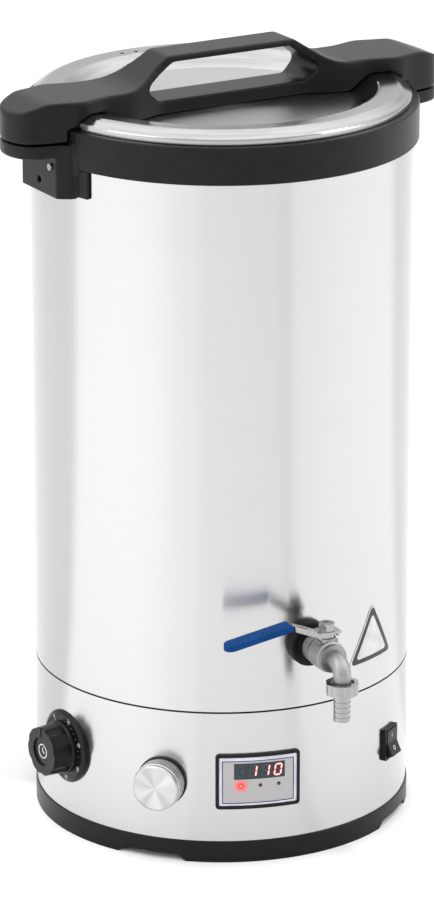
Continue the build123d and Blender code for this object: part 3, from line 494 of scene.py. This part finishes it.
def digit(cell, names, height, width, thickness, shrink=1.0):
    """The named bars of a slanted digit: a to f run clockwise from the top, and g is the middle one."""
    gap, slant = 0.3 * MM, 0.14
    h, w = height / 2, width / 2
    bars = {
        "a": (0, h, False), "b": (w, h / 2, True), "c": (w, -h / 2, True), "d": (0, -h, False),
        "e": (-w, -h / 2, True), "f": (-w, h / 2, True), "g": (0, 0, False),
    }
    shapes = []
    for name in names:
        x, y, upright = bars[name]
        length = (h if upright else width) - gap
        outline = segment(x, y, length * (1 - 0.12 * (1 - shrink)), thickness * shrink, upright)
        shapes.append([Vector((cell + a + slant * b, b)) for a, b in outline])
    return shapes


def make_display():
    """Printed margin and line of the fascia, the digits behind the window and two unlit lamps."""
    margin = moulded("fascia_margin", (0.46, 0.46, 0.53), 0.3, 0.36, **FILM_GRAIN)
    line = moulded("fascia_line", (0.01, 0.018, 0.075), 0.3, 0.36, **FILM_GRAIN)
    wall = on_wall(DISPLAY_AT, DISPLAY_Z)
    outer = rectangle(66.6 * MM, 43.0 * MM, 1.0 * MM)
    shift = -0.6 * MM
    edge = rectangle(61.4 * MM, 38.4 * MM, 0.7 * MM, y=shift)
    inside = rectangle(59.8 * MM, 36.8 * MM, 0.5 * MM, y=shift)
    top = 1.25 * MM
    low = top - 0.05 * MM
    inlay("fascia_margin", [(outer, edge)], wall, low, top + 0.1 * MM, margin, "root")
    inlay("fascia_line", [(edge, inside)], wall, low, top + 0.12 * MM, line, "root")

    window = on_wall(DISPLAY_AT + math.degrees(1.0 * MM / WALL_R), DISPLAY_Z + 9.0 * MM)
    pitch = 10.7
    cells = [(k - 1.5) * pitch * MM - 0.3 * MM for k in range(4)]
    digits = ("", "bc", "bc", "abcdef")
    size = (9.4 * MM, 5.4 * MM)
    unlit, lit, cores = [], [], []
    for cell, on in zip(cells, digits):
        off = [s for s in "abcdefg" if s not in on]
        unlit += digit(cell, off, *size, 1.5 * MM)
        lit += digit(cell, on, *size, 1.7 * MM)
        cores += digit(cell, on, *size, 1.7 * MM, shrink=0.5)
    glass = 1.15 * MM
    faint = moulded(
        "unlit_segment", (0.012, 0.03, 0.036), 0.2, 0.26, grain=800.0, height=0.000001
    )
    inlay("unlit_segments", unlit, window, glass, glass + 0.02 * MM, faint, "root")
    red = glowing("lit_edge", (1.0, 0.02, 0.03), 0.95)
    inlay("lit_segments", lit, window, glass, glass + 0.03 * MM, red, "root")
    pink = glowing("lit_core", (1.0, 0.5, 0.5), 1.3)
    inlay("lit_segment_cores", cores, window, glass, glass + 0.04 * MM, pink, "root")

    dark = moulded("unlit_lamp", (0.004, 0.006, 0.02), 0.2, 0.3, grain=800.0, height=0.000002)
    for index, name in ((1, "middle_lamp_cap"), (2, "right_lamp_cap")):
        lamp_cap(name, index, dark)
    lamp_cap("left_lamp_cap", 0, glowing("lit_lamp", (1.0, 0.03, 0.03), 0.9))
    core = glowing("lit_lamp_core", (1.0, 0.55, 0.55), 1.2)
    lamp_cap("left_lamp_core", 0, core, radius=0.75 * MM, top=2.05 * MM)


def lamp_cap(name, index, mat, radius=1.62 * MM, top=1.85 * MM):
    """Low dome over a lamp."""
    place = on_face(lamp_azimuth(index), LAMP_Z)
    low = 1.2 * MM
    steps, rings = 32, 5
    vertices, faces = [], []
    for k in range(rings):
        angle = math.pi / 2 * k / rings
        for p in circle(radius * math.cos(angle), steps=steps):
            vertices.append(place(p.x, p.y, low + (top - low) * math.sin(angle)))
    vertices.append(place(0, 0, top))
    for k in range(rings - 1):
        for i in range(steps):
            j = (i + 1) % steps
            faces.append((k * steps + i, k * steps + j, (k + 1) * steps + j, (k + 1) * steps + i))
    last = (rings - 1) * steps
    faces += [(last + i, last + (i + 1) % steps, len(vertices) - 1) for i in range(steps)]
    faces.append(tuple(reversed(range(steps))))
    add_mesh(name, vertices, faces, mat, "root", smooth=True)


# ------------------------------------------------------------------ knobs and switch


def knob_frame(joint, out):
    """Matrix of a knob's front: x right, y up and z outwards, a distance out from its joint."""
    place = Vector(JOINTS[joint]["pos_m"])
    z = -Vector(JOINTS[joint]["axis"]).normalized()
    y = Vector((0.0, 0.0, 1.0))
    x = y.cross(z)
    matrix = Matrix((x, y, z)).transposed().to_4x4()
    matrix.translation = place + z * out
    return matrix


def make_knob_face():
    """Turned face of the aluminium knob: a thin dished disc with its own round brushing, and a painted sheen of
    bright and dark wedges round its middle.
    """
    mat, tree, shader = new_material("turned_face", (0.54, 0.54, 0.55), 1.0, 0.33, Anisotropic=0.92)
    turned(tree, shader)
    where = tree.nodes.new("ShaderNodeTexCoord")
    # Painted sheen: colour levels at angles round the knob's middle, standing in for light caught by the turned
    # face. It turns with the knob.
    stops = (
        (-180, 0.6), (-150, 0.2), (-128, 0.9), (-100, 0.35), (-60, 0.75), (-36, 0.1), (-14, 0.8),
        (10, 1.0), (34, 0.3), (66, 0.85), (96, 0.5), (130, 1.0), (150, 0.4), (180, 0.6),
    )
    painted_sheen = around(tree, where.outputs["Object"], stops, 0.42, 0.62)
    tree.links.new(painted_sheen, shader.inputs["Base Color"])
    steps = 96
    # Radius and height in millimetres, from the middle out and down the rim
    profile = ((0.0, 0.04), (6.0, 0.05), (12.0, 0.09), (18.5, 0.15), (19.0, 0.12), (19.0, -0.1))
    vertices = [(0.0, 0.0, profile[0][1] * MM)]
    faces = []
    for r, z in profile[1:]:
        for k in range(steps):
            a = 2 * math.pi * k / steps
            vertices.append((r * MM * math.cos(a), r * MM * math.sin(a), z * MM))
    for i in range(steps):
        j = (i + 1) % steps
        faces.append((0, 1 + i, 1 + j))
        for k in range(len(profile) - 2):
            a, b = 1 + k * steps, 1 + (k + 1) * steps
            faces.append((a + i, b + i, b + j, a + j))
    faces.append(tuple(1 + (len(profile) - 2) * steps + i for i in reversed(range(steps))))
    mesh = bpy.data.meshes.new("temperature_knob_face")
    mesh.from_pydata(vertices, [], faces)
    mesh.validate()
    for polygon in mesh.polygons:
        polygon.use_smooth = polygon.index < len(mesh.polygons) - 1
    piece = bpy.data.objects.new("temperature_knob_face", mesh)
    bpy.context.scene.collection.objects.link(piece)
    mesh.materials.append(mat)
    piece.matrix_world = knob_frame("temperature_knob_turn", TEMPERATURE_FACE_OUT)
    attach(piece, "temperature")


def on_knob(matrix):
    """Maps (u right, v up, h outwards) onto the front plane of a knob."""
    return lambda u, v, h: matrix @ Vector((u, v, h))


def stroke(a, b, width):
    """Straight bar between two points."""
    a, b = Vector(a), Vector(b)
    side = (b - a).normalized().orthogonal() * width / 2
    return [a + side, a - side, b - side, b + side]


def make_clock_symbol():
    """White ring and two hands on the timer knob's recessed face."""
    place = on_knob(knob_frame("timer_knob_turn", TIMER_FACE_OUT))
    hand = 0.9 * MM
    shapes = [
        (circle(6.4 * MM), circle(5.5 * MM)),
        stroke((0, -0.4 * MM), (0, 3.4 * MM), hand),
        stroke((-0.4 * MM, 0), (2.8 * MM, -1.2 * MM), hand),
    ]
    inlay("timer_symbol", shapes, place, 0.0, 0.08 * MM, WHITE_INK, "timer")


def make_dial_marks():
    """Minute numbers and ticks round the timer's dial plate."""
    matrix = knob_frame("timer_knob_turn", DIAL_FACE_OUT)
    first, sweep = -30.0, 300.0
    minutes, steps, ticks_a_step = 20, 6, 4
    tick_r, number_r = 23.2, 26.6
    ticks = []
    count = steps * ticks_a_step
    for k in range(count + 1):
        a = math.radians(90 - first - sweep * k / count)
        direction = Vector((math.cos(a), math.sin(a)))
        length = 1.4 if k % ticks_a_step == 0 else 0.8
        ticks.append(stroke(direction * tick_r * MM, direction * (tick_r + length) * MM, 0.4 * MM))
    inlay("dial_ticks", ticks, on_knob(matrix), 0.0, 0.06 * MM, WHITE_INK, "root")
    for k in range(steps + 1):
        number = str(minutes * k)
        text = bpy.data.curves.new("dial_number_" + number, "FONT")
        text.body = number
        text.size = 4.4 * MM
        text.align_x = "CENTER"
        text.align_y = "CENTER"
        text.extrude = 0.04 * MM
        piece = bpy.data.objects.new("dial_number_" + number, text)
        bpy.context.scene.collection.objects.link(piece)
        a = math.radians(90 - first - sweep * k / steps)
        where = Vector((number_r * MM * math.cos(a), number_r * MM * math.sin(a), 0.03 * MM))
        upright = Matrix.Rotation(a - math.pi / 2, 4, "Z")
        piece.matrix_world = matrix @ Matrix.Translation(where) @ upright
        text.materials.append(WHITE_INK)
        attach(piece, "root")


def make_switch_marks():
    """I on the upper half of the rocker and O on the lower half."""
    # The rocker rests tilted, and each half of its face slopes up from the middle
    tilt, pivot = 12.0, 0.5 * MM
    slope = math.degrees(math.atan2(2.4, 11.4))
    low, high = 3.14 * MM, 3.2 * MM
    bar = rectangle(0.7 * MM, 3.6 * MM, 0.15 * MM, y=6.8 * MM)
    upper = on_face(SWITCH_AT, SWITCH_Z, tilt - slope, pivot)
    inlay("switch_on_mark", [bar], upper, low, high, WHITE_INK, "rocker")
    lower = on_face(SWITCH_AT, SWITCH_Z, tilt + slope, pivot)
    ring = (circle(1.9 * MM, y=-6.4 * MM), circle(1.25 * MM, y=-6.4 * MM))
    inlay("switch_off_mark", [ring], lower, low, high, WHITE_INK, "rocker")


# ------------------------------------------------------------------ seam


def make_painted_seam_shadow():
    """Dark ring laid in the groove between the skirt and the kettle: painted shade that stands for the shadow in
    the gap.
    """
    bottom, top = 133.6 * MM, 135.2 * MM
    # Radius in millimetres, and height as a share of the groove's
    profile = ((158.55, 0.02), (159.3, 0.02), (159.55, 0.5), (159.3, 0.98), (158.55, 0.98))
    steps = 288
    vertices, faces = [], []
    for k in range(steps):
        for r, t in profile:
            vertices.append(wall_point(360.0 * k / steps, bottom + (top - bottom) * t, r * MM))
    n = len(profile)
    for k in range(steps):
        for i in range(n):
            j, beyond = (i + 1) % n, (k + 1) % steps
            a, b = k * n + i, k * n + j
            c, d = beyond * n + j, beyond * n + i
            faces.append((a, d, c, b))
    add_mesh("painted_seam_shadow", vertices, faces, SLOT_MATERIALS["rubber"], "root", smooth=True)


# ------------------------------------------------------------------ badge


def make_badge():
    """Blank badge print: a pale field inside a dark border with rounded corners."""
    film = moulded("badge_film", (0.42, 0.42, 0.42), 0.35, 0.42, **FILM_GRAIN)
    NODES["triangle_badge"].data.materials.clear()
    NODES["triangle_badge"].data.materials.append(film)
    side, border_out, border_in = 60.0 * MM, 0.93, 0.71
    reach = side / math.sqrt(3)
    turns = [math.radians(90 + 120 * k) for k in range(3)]
    corners = [(reach * math.cos(a), reach * math.sin(a)) for a in turns]
    base = rounded(corners, 3.0 * MM, side_steps=16)
    ink = moulded("badge_border", (0.006, 0.006, 0.007), 0.35, 0.42, **FILM_GRAIN)
    wall = on_wall(BADGE_AT, BADGE_Z)
    border = (scaled(base, border_out), scaled(base, border_in))
    inlay("badge_border", [border], wall, 0.4 * MM, 0.55 * MM, ink, "root")


mould("lid_bar", "lid", voxel=1.1 * MM, passes=14)
mould("side_handle_left", "root", voxel=0.8 * MM, passes=8)
mould("side_handle_right", "root", voxel=0.8 * MM, passes=8)
make_display()
make_knob_face()
make_clock_symbol()
make_dial_marks()
make_switch_marks()
make_painted_seam_shadow()
make_badge()


# ------------------------------------------------------------------ floor, light and camera


def make_floor():
    """Pale floor with painted light: its colour is paler on the two sides that the softboxes light, and darker in
    front and behind.
    """
    half = 12.0
    corners = [(-half, -half, 0), (half, -half, 0), (half, half, 0), (-half, half, 0)]
    mesh = bpy.data.meshes.new("floor")
    mesh.from_pydata(corners, [], [(0, 1, 2, 3)])
    floor = bpy.data.objects.new("floor", mesh)
    bpy.context.scene.collection.objects.link(floor)
    mat, tree, shader = new_material("floor", (0.86, 0.86, 0.86), 0.0, 0.9, Specular_IOR_Level=0.0)
    where = tree.nodes.new("ShaderNodeTexCoord")
    # Painted light: floor colour levels by direction round the kettle, brightest towards the two softboxes. The
    # wall mirrors them as soft vertical bands.
    stops = (
        (-180, 0.0), (-130, 0.0), (-119, 1.0), (-78, 0.93), (-45, 0.6), (-41, 0.4), (1, 0.3),
        (5, 0.12), (9, 0.15), (13, 0.5), (40, 0.62), (85, 0.75), (99, 0.0), (180, 0.0),
    )
    shade = around(tree, where.outputs["Object"], stops, 0.7, 0.98)
    tree.links.new(shade, shader.inputs["Base Color"])
    mesh.materials.append(mat)


def make_light(name, azimuth, distance, height, size, power, aim):
    """Square soft light at an azimuth, turned towards a point."""
    data = bpy.data.lights.new(name, "AREA")
    data.shape = "SQUARE"
    data.size = size
    data.energy = power
    light = bpy.data.objects.new(name, data)
    bpy.context.scene.collection.objects.link(light)
    light.location = wall_point(azimuth, height, distance)
    light.rotation_euler = (Vector(aim) - light.location).to_track_quat("-Z", "Y").to_euler()
    light.visible_camera = False


def make_world(strength):
    """Soft white surroundings. Low down they are bright on the left and right, and dimmer between."""
    world = bpy.data.worlds.new("studio")
    world.use_nodes = True
    tree = world.node_tree
    background = tree.nodes["Background"]
    background.inputs["Color"].default_value = (1.0, 1.0, 1.0, 1.0)
    where = tree.nodes.new("ShaderNodeTexCoord")
    height = tree.nodes.new("ShaderNodeSeparateXYZ")
    tree.links.new(where.outputs["Generated"], height.inputs["Vector"])
    stops = (
        (-180, 0.2), (-140, 0.35), (-95, 1.0), (-70, 0.5), (-50, 0.05), (-20, 0.1), (5, 0.0),
        (30, 0.3), (55, 1.0), (75, 0.9), (100, 0.2), (130, 0.1), (180, 0.2),
    )
    low = around(tree, where.outputs["Generated"], stops, 0.4 * strength, 1.15 * strength)
    mix = tree.nodes.new("ShaderNodeMix")
    mix.inputs["B"].default_value = 1.05 * strength
    tree.links.new(between(tree, height.outputs["Z"], 0.0, 1.0), mix.inputs["Factor"])
    tree.links.new(low, mix.inputs["A"])
    tree.links.new(mix.outputs["Result"], background.inputs["Strength"])
    bpy.context.scene.world = world


def make_camera(azimuth, elevation, distance, focal_pixels, target):
    """Camera round the target. The focal length is in pixels of the frame, 434 by 900."""
    frame_height = 900
    data = bpy.data.cameras.new("camera")
    data.sensor_width = 36.0
    data.lens = focal_pixels * data.sensor_width / frame_height
    data.clip_end = 100.0
    camera = bpy.data.objects.new("camera", data)
    bpy.context.scene.collection.objects.link(camera)
    a, e = math.radians(azimuth), math.radians(elevation)
    back = Vector((math.sin(a) * math.cos(e), -math.cos(a) * math.cos(e), math.sin(e)))
    camera.location = Vector(target) + back * distance
    camera.rotation_euler = (-back).to_track_quat("-Z", "Y").to_euler()
    bpy.context.scene.camera = camera


make_floor()
make_world(strength=1.75)
SOFTBOX = {"distance": 1.8, "height": 1.8, "size": 1.2, "aim": (0.0, 0.0, 0.4)}
make_light("left_softbox", -87.0, power=9.0, **SOFTBOX)
make_light("right_softbox", 55.0, power=6.0, **SOFTBOX)
make_camera(
    azimuth=-30.3, elevation=18.45, distance=4.2, focal_pixels=4930.0, target=(-0.0033, 0.0019, 0.312)
)
bpy.context.scene.view_settings.view_transform = "Standard"
